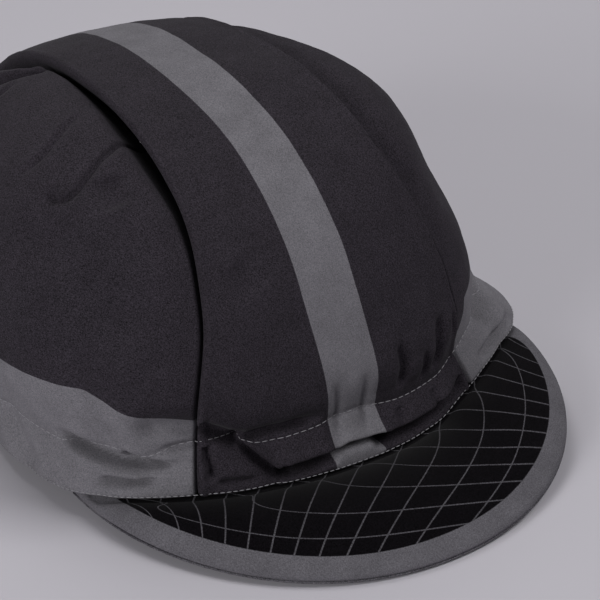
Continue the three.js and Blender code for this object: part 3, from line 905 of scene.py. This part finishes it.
@dataclass
class PeakShape:
    """The peak as a surface from its root inside the front hem to its rim."""

    crown: CrownShape
    reach: float = 49.0
    cloth: float = 1.1
    gap: float = 0.3
    corner: float = 61.0
    lifted_at: float = 60.0
    flare: float = 1.06
    right_draw: float = 0.92
    roundness: float = 2.06
    tuck: float = 3.5
    arch_slope: float = 0.15
    arch_start: float = 0.3
    rim_fall: float = 1.5
    hidden_limit: float = 0.7
    rim_radius: float = 1.0

    def hem_line(self, x: Array) -> Array:
        """Distance ahead of the plain dome's front edge, as y."""
        crown = self.crown
        share = np.abs(x) / crown.half_width
        return -crown.front_reach * (1 - share ** crown.hem_squareness) ** (1 / crown.hem_squareness)

    def surface(self, across: Array, along: Array) -> Array:
        """Points of the peak's upper face.

        Args:
            across: From the right corner (-1) to the left one (1).
            along: From the root inside the hem (-1), past the hem's outer face (0), to the rim (1).

        Returns:
            Points, with their coordinates in the last axis.
        """
        crown = self.crown
        turn = across * math.pi / 2
        spread = np.sign(turn) * np.abs(np.sin(turn)) ** (2 / self.roundness)
        spread = spread * np.where(turn < 0, self.right_draw, 1.0)
        ahead = np.abs(np.cos(turn)) ** (2 / self.roundness)
        corner_x = crown.half_width * math.sin(math.radians(self.corner)) ** (2 / crown.hem_squareness)
        corner_y = self.hem_line(np.array(corner_x))
        hem_x = corner_x * spread
        hem = np.stack([hem_x, self.hem_line(hem_x), np.zeros_like(spread)], axis=-1)
        root = crown.lay(hem, np.full_like(spread, self.tuck), Cut.PLAIN)
        root[..., 2] -= self.gap
        low = 2 * self.cloth + self.gap
        high = crown.hem_lift(np.where(across < 0, -self.lifted_at, self.lifted_at)) - 2 * self.gap
        fall = np.abs(np.cos(turn)) ** self.rim_fall
        rim = np.stack([
            self.flare * corner_x * spread,
            corner_y - (crown.front_reach + self.reach + corner_y) * ahead,
            high + (low - high) * fall,
        ], axis=-1)
        length = np.hypot(rim[..., 0] - root[..., 0], rim[..., 1] - root[..., 1])
        hidden = np.minimum((self.tuck + self.arch_start) / length, self.hidden_limit)
        open_share = np.clip(along, 0.0, 1.0)[:, None]
        tucked = np.clip(along + 1, 0.0, 1.0)[:, None]
        share = np.where(along[:, None] <= 0, tucked * hidden, hidden + (1 - hidden) * open_share)
        points = root + (rim - root) * share[..., None]
        shown = np.maximum(length - self.tuck - 2 * self.arch_start, 0.0)
        points[..., 2] += self.arch_slope * shown * 4 * open_share * (1 - open_share)
        return points


@dataclass(frozen=True)
class PrintedLines:
    """A family of thin lines printed across the peak, as how many of them have been passed at each place.

    The counts are given at the same steps across the peak, once along the hem and once along the rim. Between
    them the lines bow, but hardly in the share of the way from the hem that is named straight.
    """

    at_hem: tuple[float, ...]
    at_rim: tuple[float, ...]
    bow: float
    straight: float = 0.1
    degree: int = 3
    steps: tuple[float, ...] = (-66.0, -33.0, 0.0, 33.0, 66.0)

    def count(self, x: Array, share: Array) -> Array:
        """Lines passed at a distance across the peak and a share of the way from the hem to the rim."""
        fits = [np.polyfit(self.steps, row, self.degree) for row in (self.at_hem, self.at_rim)]
        hem, rim = (np.polyval(fit, x) for fit in fits)
        shown = np.maximum(share, 0.0)
        bend = self.bow * shown * (1 - shown) * shown / (shown + self.straight)
        return hem * (1 - share) + rim * share + bend


@dataclass
class PeakCloth(ClothPiece):
    """One of the peak's two cloths, which meet at the rim."""

    shape: PeakShape = field(default_factory=lambda: PeakShape(CrownShape()))
    held: str = "stretched"
    upper: bool = True
    columns: int = 240
    rows: int = 62
    root_rows: tuple[float, ...] = (-1.0, -0.5)
    rim_insets: tuple[float, ...] = (2.4, 1.7, 1.2, 0.8, 0.5, 0.25, 0.1, 0.0)
    rim_length: float = 52.0
    least_run: float = 0.01
    least_slope: float = 0.02
    border: float = 5.9
    lines: tuple[PrintedLines, PrintedLines] = (
        PrintedLines((-4.9, -0.4, 2.8, 5.2, 7.2), (-5.8, 3.4, 7.1, 8.1, 8.9), -2.07),
        PrintedLines((12.7, 11.1, 9.0, 6.3, 1.2), (15.4, 14.0, 13.1, 11.1, 3.7), -5.87),
    )

    def line_marks(self, points: Array, along: Array) -> dict[str, Array]:
        """Counts of the printed lines at each point, and the spacing of the lines there."""
        root, hem, rim = points[0, :, :2], points[np.argmax(along >= 0), :, :2], points[-1, :, :2]
        hidden = np.linalg.norm(hem - root, axis=-1) / np.linalg.norm(rim - hem, axis=-1)
        share = np.where(along[:, None] < 0, along[:, None] * hidden, along[:, None])
        counts = [family.count(points[..., 0], share) for family in self.lines]
        lengths = [np.gradient(grid_lengths(points, axis), axis=axis) for axis in (0, 1)]
        runs = [np.maximum(length, self.least_run) for length in lengths]
        pitches = []
        for count in counts:
            slopes = [np.gradient(count, axis=axis) / runs[axis] for axis in (0, 1)]
            pitches.append(1 / np.maximum(np.hypot(slopes[1], slopes[0]), self.least_slope))
        nothing = np.zeros_like(share)
        return {
            "line_count": np.stack([*counts, nothing], axis=-1),
            "line_pitch_mm": np.stack([*pitches, nothing], axis=-1),
        }

    def grid_and_marks(self) -> tuple[Array, dict[str, Array]]:
        """The cloth's grid, and the printed border and lines of the upper one."""
        shape = self.shape
        across = np.linspace(-1, 1, self.columns + 1)
        even = np.linspace(0, 1, self.rows + 1)[:-3]
        along = np.concatenate([self.root_rows, even, 1 - np.array(self.rim_insets) / self.rim_length])
        top = shape.surface(across, along)
        rim = top[-1]
        reach, _, _ = nearest_on_run(top.reshape(-1, 3), rim)
        reach = reach.reshape(top.shape[:2])
        drop = rounded_edge(reach, shape.rim_radius)
        points = top.copy()
        if self.upper:
            points[..., 2] -= drop
        else:
            points[..., 2] -= 2 * shape.cloth + shape.gap - drop
            points = points[::-1]
            reach = reach[::-1]
        marks = {"print_edge_mm": self.border - reach}
        if self.upper:
            marks.update(self.line_marks(points, along))
        return points[::-1], {name: values[::-1] for name, values in marks.items()}


@dataclass
class Stitching:
    """A row of machine stitches along a line on the cloth, each a short bead of thread."""

    name: str
    slot: str
    origin: Vector
    length: float = 1.9
    gap: float = 0.35
    thickness: float = 0.24
    rise: float = 0.06
    segments: int = 8
    rings: int = 6

    def build(self, line: Array, outward: Array, thread: bpy.types.Material) -> bpy.types.Object:
        """Builds the row along a line.

        Args:
            line: Closely spaced points in millimetres.
            outward: Unit vectors out of the cloth at those points.
            thread: Material of the thread.

        Returns:
            The row as one object.
        """
        run = grid_lengths(line[:, None, :], 0)[:, 0]
        pitch = self.length + self.gap
        shape = bmesh.new()

        def value_at(length: float, values: Array) -> Array:
            """The row of values at a length along the line."""
            return np.array([np.interp(length, run, values[:, k]) for k in range(3)])

        for start in np.arange(0.0, run[-1] - self.length, pitch):
            first = value_at(start, line)
            last = value_at(start + self.length, line)
            out = Vector(value_at(start + self.length / 2, outward)).normalized()
            span = Vector(last - first)
            middle = (Vector(first) + Vector(last)) / 2 + out * self.rise
            forward = span.normalized()
            across = out.cross(forward).normalized()
            turn = Matrix((forward, across, forward.cross(across))).transposed().to_4x4()
            half = Vector((span.length / 2, self.thickness / 2, self.thickness / 2)) * MM
            place = Matrix.Translation(middle * MM + self.origin) @ turn @ Matrix.Diagonal(half).to_4x4()
            bmesh.ops.create_uvsphere(
                shape, u_segments=self.segments, v_segments=self.rings, radius=1.0, matrix=place,
            )
        row = object_of(shape, self.name)
        row.data.shade_smooth()
        row.data.materials.append(thread)
        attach(row, "root")
        LOG.info("%s: %d faces", self.name, len(row.data.polygons))
        return row


def linear_colour(code: str) -> tuple[float, float, float, float]:
    """Linear colour of an sRGB hex code such as "59575c"."""
    parts = [int(code[i:i + 2], 16) / 255 for i in (0, 2, 4)]
    linear = [part / 12.92 if part <= 0.04045 else ((part + 0.055) / 1.055) ** 2.4 for part in parts]
    return (*linear, 1.0)


def add(
    tree: bpy.types.NodeTree, kind: str, settings: dict[str, object] | None = None, **inputs: object,
) -> bpy.types.Node:
    """Adds a node with its settings, values and links.

    Args:
        tree: Node tree that gets the node.
        kind: Type name of the node without "ShaderNode".
        settings: Properties of the node, if any differ from its own.
        **inputs: Values or sockets for the inputs, by name with _ for a space, or by number as in_0.

    Returns:
        The node.
    """
    node = tree.nodes.new("ShaderNode" + kind)
    for key, value in (settings or {}).items():
        setattr(node, key, value)
    for key, value in inputs.items():
        socket = node.inputs[int(key[3:])] if key.startswith("in_") else node.inputs[key.replace("_", " ")]
        if isinstance(value, bpy.types.NodeSocket):
            tree.links.new(value, socket)
        else:
            socket.default_value = value
    return node


def new_material(name: str) -> tuple[bpy.types.Material, bpy.types.NodeTree, bpy.types.Node]:
    """A material with a shader joined to its output."""
    material = bpy.data.materials.new(name)
    material.use_nodes = True
    tree = material.node_tree
    tree.nodes.clear()
    shader = add(tree, "BsdfPrincipled")
    add(tree, "OutputMaterial", Surface=shader.outputs[0])
    return material, tree, shader


class Print(Enum):
    """What is printed on a cloth."""

    PLAIN = "plain"
    STRIPE = "stripe"
    ZONE = "zone"
    PEAK = "peak"


@dataclass(frozen=True)
class PrintedTwill:
    """Cotton twill, piece printed: matt, with a soft nap that catches light at grazing angles.

    Cotton reads as dull and slightly mottled; the diagonal rib of the twill shows as a fine grain.
    """

    name: str
    ground: str
    ink: str = GREY_INK
    design: Print = Print.PLAIN
    rib: float = 0.3
    rib_length: float = 0.5
    rib_height: float = 0.04
    rib_turn: float = 37.0
    rib_detail: float = 2.0
    rib_roughness: float = 0.6
    ground_grain: float = 4.0
    ink_grain: float = 1.6
    cloud_span: float = 9.0
    cloud_detail: float = 3.0
    cloud_roughness: float = 0.55
    cloud: float = 0.5
    ink_edge: float = 0.1
    roughness: float = 0.9
    specular: float = 0.12
    sheen: float = 0.03
    sheen_roughness: float = 0.45
    line_width: float = 0.38
    line_foot: float = 0.7
    line_core: float = 0.3
    line_strength: float = 0.62

    def grid_lines(self, tree: bpy.types.NodeTree) -> bpy.types.NodeSocket:
        """Mask of the peak's thin printed lines, from how many lines of each family have been passed."""
        counts = add(tree, "Attribute", {"attribute_name": "line_count"}).outputs["Vector"]
        pitches = add(tree, "Attribute", {"attribute_name": "line_pitch_mm"}).outputs["Vector"]
        count = add(tree, "SeparateXYZ", Vector=counts)
        pitch = add(tree, "SeparateXYZ", Vector=pitches)
        masks = []
        for axis in ("X", "Y"):
            passed = count.outputs[axis]
            spacing = pitch.outputs[axis]
            away = add(tree, "Math", {"operation": "PINGPONG"}, in_0=passed, in_1=0.5).outputs[0]
            reach = add(tree, "Math", {"operation": "MULTIPLY"}, in_0=away, in_1=spacing).outputs[0]
            mask = add(tree, "MapRange", {"interpolation_type": "SMOOTHSTEP"}, Value=reach,
                       From_Min=self.line_width * self.line_foot, From_Max=self.line_width * self.line_core)
            masks.append(mask.outputs[0])
        both = add(tree, "Math", {"operation": "MAXIMUM"}, in_0=masks[0], in_1=masks[1]).outputs[0]
        return add(tree, "Math", {"operation": "MULTIPLY"}, in_0=both, in_1=self.line_strength).outputs[0]

    def build(self) -> bpy.types.Material:
        """Makes the material."""
        material, tree, shader = new_material(self.name)
        place = add(tree, "TexCoord").outputs["Object"]
        colour = linear_colour(self.ground)[:3]
        strength = self.ground_grain
        if self.design is not Print.PLAIN:
            edge = add(tree, "Attribute", {"attribute_name": "print_edge_mm"}).outputs["Fac"]
            blur = self.ink_edge
            mask = add(tree, "MapRange", Value=edge, From_Min=-blur, From_Max=blur).outputs[0]
            if self.design is Print.PEAK:
                lines = self.grid_lines(tree)
                mask = add(tree, "Math", {"operation": "MAXIMUM"}, in_0=mask, in_1=lines).outputs[0]
            ink = linear_colour(self.ink)
            colour = add(tree, "MixRGB", Fac=mask, Color1=linear_colour(self.ground), Color2=ink).outputs[0]
            strength = add(tree, "MapRange", Value=mask, To_Min=strength, To_Max=self.ink_grain).outputs[0]
        across = 1 / (self.rib * MM)
        ribs = add(tree, "Mapping", Vector=place, Rotation=(0.0, 0.0, math.radians(self.rib_turn)),
                   Scale=(across, 1 / (self.rib_length * MM), across)).outputs[0]
        grain = add(tree, "TexNoise", Vector=ribs, Scale=1.0, Detail=self.rib_detail,
                    Roughness=self.rib_roughness).outputs["Fac"]
        cloud = add(tree, "TexNoise", Vector=place, Scale=1 / (self.cloud_span * MM),
                    Detail=self.cloud_detail, Roughness=self.cloud_roughness).outputs["Fac"]
        grain_swing = add(tree, "Math", {"operation": "SUBTRACT"}, in_0=grain, in_1=0.5).outputs[0]
        fine = add(tree, "Math", {"operation": "MULTIPLY_ADD"},
                   in_0=grain_swing, in_1=strength, in_2=1.0).outputs[0]
        wide = add(tree, "Math", {"operation": "MULTIPLY_ADD"},
                   in_0=cloud, in_1=self.cloud, in_2=1 - self.cloud / 2).outputs[0]
        shade = add(tree, "Math", {"operation": "MULTIPLY"}, in_0=fine, in_1=wide).outputs[0]
        tone = add(tree, "VectorMath", {"operation": "SCALE"}, in_0=colour, Scale=shade).outputs[0]
        tree.links.new(tone, shader.inputs["Base Color"])
        bump = add(tree, "Bump", Height=grain, Distance=self.rib_height * MM * 2, Strength=1.0)
        tree.links.new(bump.outputs[0], shader.inputs["Normal"])
        shader.inputs["Roughness"].default_value = self.roughness
        shader.inputs["Specular IOR Level"].default_value = self.specular
        shader.inputs["Sheen Weight"].default_value = self.sheen
        shader.inputs["Sheen Roughness"].default_value = self.sheen_roughness
        return material


@dataclass(frozen=True)
class Mottled:
    """A finish of one colour, whose brightness wanders from its darkest by its swing."""

    name: str
    colour: str
    spots_per_metre: float
    detail: float
    swing: float
    darkest: float
    roughness: float

    def build(self) -> bpy.types.Material:
        """Makes the material."""
        material, tree, shader = new_material(self.name)
        place = add(tree, "TexCoord").outputs["Object"]
        spots = add(tree, "TexNoise", Vector=place, Scale=self.spots_per_metre, Detail=self.detail)
        shade = add(tree, "Math", {"operation": "MULTIPLY_ADD"},
                    in_0=spots.outputs["Fac"], in_1=self.swing, in_2=self.darkest).outputs[0]
        colour = linear_colour(self.colour)[:3]
        tone = add(tree, "VectorMath", {"operation": "SCALE"}, in_0=colour, Scale=shade).outputs[0]
        tree.links.new(tone, shader.inputs["Base Color"])
        shader.inputs["Roughness"].default_value = self.roughness
        return material


@dataclass(frozen=True)
class Thread(Mottled):
    """Spun polyester sewing thread: smoother and paler than the cloth, with a faint twist every 0.6 mm."""

    name: str = "spun polyester thread"
    colour: str = "918f94"
    spots_per_metre: float = 1 / (0.6 * MM)
    detail: float = 1.0
    swing: float = 0.5
    darkest: float = 0.7
    roughness: float = 0.55


@dataclass(frozen=True)
class PaperFloor(Mottled):
    """Matt background paper: pale, even and without gloss, with only a trace of mottling."""

    name: str = "matt background paper"
    colour: str = "c2bfc6"
    spots_per_metre: float = 6.0
    detail: float = 2.0
    swing: float = 0.04
    darkest: float = 0.98
    roughness: float = 0.95


@dataclass(frozen=True)
class Softbox:
    """A soft square light that faces the cap, with its spot and size in metres and its power in watts."""

    name: str
    spot: tuple[float, float, float]
    size: float
    power: float
    faces: tuple[float, float, float] = (0.0, 0.0, 0.05)

    def hang(self) -> None:
        """Hangs the light at its spot."""
        lamp = bpy.data.lights.new(self.name, "AREA")
        lamp.shape = "SQUARE"
        lamp.size = self.size
        lamp.energy = self.power
        light = bpy.data.objects.new(self.name, lamp)
        light.location = self.spot
        way = Vector(self.faces) - Vector(self.spot)
        light.rotation_euler = way.to_track_quat("-Z", "Y").to_euler()
        bpy.context.collection.objects.link(light)


@dataclass
class Studio:
    """The floor, the soft lights and the camera at the photograph's angle."""

    origin: Vector
    floor_size: float = 6000.0
    floor_cells: int = 8
    azimuth: float = -28.14
    elevation: float = 27.79
    roll: float = -4.13
    distance: float = 722.0
    focus_pixels: float = 2358.84
    picture_pixels: float = 600.0
    sensor: float = 36.0
    nearest: float = 10.0
    farthest: float = 20000.0
    aim: tuple[float, float, float] = (32.88, 0.0, 9.06)
    sky: str = "d6d4da"
    sky_strength: float = 0.15
    softboxes: tuple[Softbox, ...] = (
        Softbox("front softbox", (1.0, -0.8, 1.5), 1.0, 17.6),
        Softbox("back softbox", (0.1, 1.0, 1.5), 1.0, 10.1),
        Softbox("left softbox", (-1.5, -0.6, 0.6), 0.7, 15.5),
    )

    def lay_floor(self) -> None:
        """Lays the floor under the cap."""
        shape = bmesh.new()
        cells = self.floor_cells
        bmesh.ops.create_grid(shape, x_segments=cells, y_segments=cells, size=self.floor_size * MM / 2)
        floor = object_of(shape, "floor")
        floor.data.materials.append(PaperFloor().build())

    def place_camera(self) -> None:
        """Places the camera from the photograph's angle, distance and focal length."""
        azimuth = math.radians(self.azimuth)
        elevation = math.radians(self.elevation)
        roll = math.radians(self.roll)
        back = Vector((
            math.sin(azimuth) * math.cos(elevation),
            -math.cos(azimuth) * math.cos(elevation),
            math.sin(elevation),
        ))
        level = Vector((math.cos(azimuth), math.sin(azimuth), 0.0))
        up = back.cross(level)
        right = level * math.cos(roll) + up * math.sin(roll)
        top = up * math.cos(roll) - level * math.sin(roll)
        lens = bpy.data.cameras.new("camera")
        lens.sensor_width = self.sensor
        lens.lens = self.focus_pixels * self.sensor / self.picture_pixels
        lens.clip_start = self.nearest * MM
        lens.clip_end = self.farthest * MM
        camera = bpy.data.objects.new("camera", lens)
        spot = self.origin + (Vector(self.aim) + back * self.distance) * MM
        turn = Matrix((right, top, back)).transposed().to_4x4()
        camera.matrix_world = Matrix.Translation(spot) @ turn
        bpy.context.collection.objects.link(camera)
        bpy.context.scene.camera = camera

    def light(self) -> None:
        """Lights the cap from high in front, from above the back and from low on the left of the picture."""
        for softbox in self.softboxes:
            softbox.hang()
        world = bpy.data.worlds.new("studio")
        world.use_nodes = True
        background = world.node_tree.nodes["Background"]
        background.inputs["Color"].default_value = linear_colour(self.sky)
        background.inputs["Strength"].default_value = self.sky_strength
        bpy.context.scene.world = world
        bpy.context.scene.view_settings.view_transform = "Standard"


# Height of the print's upper edge on each side panel, by direction from the front
PRINT_ROWS = {
    Side.RIGHT: ((30.7, 22.6), (35.6, 24.7), (40.3, 25.9), (43.7, 27.7), (47.4, 31.6), (51.2, 34.0),
                 (110.0, 34.0), (145.0, 29.0), (165.0, 24.0)),
    Side.LEFT: ((34.2, 18.2), (36.4, 22.1), (37.4, 27.1), (41.9, 28.2), (55.0, 33.0), (110.0, 34.0),
                (145.0, 29.0), (165.0, 24.0)),
}


@dataclass
class Cap:
    """The whole cap: crown, peak and stitching."""

    origin: Vector
    crown: CrownShape
    peak: PeakShape
    crown_thickness: float = 1.2
    stitch_step: float = 0.25
    join_ends: tuple[float, float] = (-68.0, 62.0)
    join_height: float = 1.1

    def build(self) -> None:
        """Builds every piece in order."""
        back, striped, zoned, lined, under = [finish.build() for finish in (
            PrintedTwill("back of printed cotton twill", "333136"),
            PrintedTwill("black cotton twill, stripe printed", BLACK_COTTON, design=Print.STRIPE),
            PrintedTwill("black cotton twill, lower zone printed", BLACK_COTTON, design=Print.ZONE),
            PrintedTwill("black cotton twill, lines printed", "0b090c", "605e63", Print.PEAK, specular=0.03),
            PrintedTwill("grey cotton twill", "59575c"),
        )]
        panel = {
            "slot": "crown_cloth",
            "thickness": self.crown_thickness,
            "origin": self.origin,
            "crown": self.crown,
        }
        CentrePanel(name="crown_centre", node="centre_panel", **panel).build(striped, back)
        SidePanel(name="crown_right", node="side_panel_right", side=Side.RIGHT,
                  print_rows=PRINT_ROWS[Side.RIGHT], **panel).build(zoned, back)
        SidePanel(name="crown_left", node="side_panel_left", side=Side.LEFT,
                  print_rows=PRINT_ROWS[Side.LEFT], **panel).build(zoned, back)
        cloth = {"thickness": self.peak.cloth, "origin": self.origin, "shape": self.peak}
        PeakCloth(name="peak_upper_cloth", node="peak_top", slot="peak_cloth", **cloth).build(lined, back)
        PeakCloth(name="peak_lower_cloth", node="peak_under", slot="under_cloth", upper=False,
                  **cloth).build(under, back)
        self.stitch()

    def stitch(self) -> None:
        """Sews the hem's stitch row round the crown, and the row that joins the peak to the hem's edge."""
        thread = Thread().build()
        hem = Stitching("hem_stitches", "under_cloth", self.origin)
        self.sew(hem, (-180.0, 180.0), self.crown.stitch_height, thread)
        joining = Stitching("peak_join_stitches", "under_cloth", self.origin,
                            length=1.5, gap=0.3, thickness=0.26)

        def level(directions: Array) -> Array:
            """Height of the joining row, the same in every direction."""
            return np.full_like(directions, self.join_height)

        self.sew(joining, self.join_ends, level, thread)

    def sew(self, row: Stitching, ends: Place, heights: Curve, thread: bpy.types.Material) -> None:
        """Sews a row of stitches over the outside of the crown.

        Args:
            row: The stitches.
            ends: Directions from the front at which the row starts and ends.
            heights: Its height above the hem in each direction.
            thread: Material of the thread.
        """
        start, end = ends
        directions = np.linspace(start, end, round((end - start) / self.stitch_step) + 1)
        base = self.crown.dome_at(directions, heights(directions) / self.crown.height)
        row.build(self.crown.lay_line(base), self.crown.outward(base), thread)


def cap_origin(crown: CrownShape, peak: PeakShape) -> Vector:
    """Place of the crown's middle in the frame, from the box of the peak's upper cloth."""
    low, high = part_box("peak_top")
    return Vector(((low[0] + high[0]) / 2, low[1] + (crown.front_reach + peak.reach) * MM, 0.0))


def main() -> None:
    """Builds the cap on its frame, then the studio round it."""
    logging.basicConfig(level=logging.INFO, format="%(name)s: %(message)s")
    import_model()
    crown = CrownShape()
    peak = PeakShape(crown)
    origin = cap_origin(crown, peak)
    Cap(origin, crown, peak).build()
    studio = Studio(origin)
    studio.lay_floor()
    studio.place_camera()
    studio.light()
    LOG.info("cap is done")


if __name__ == "__main__":
    main()
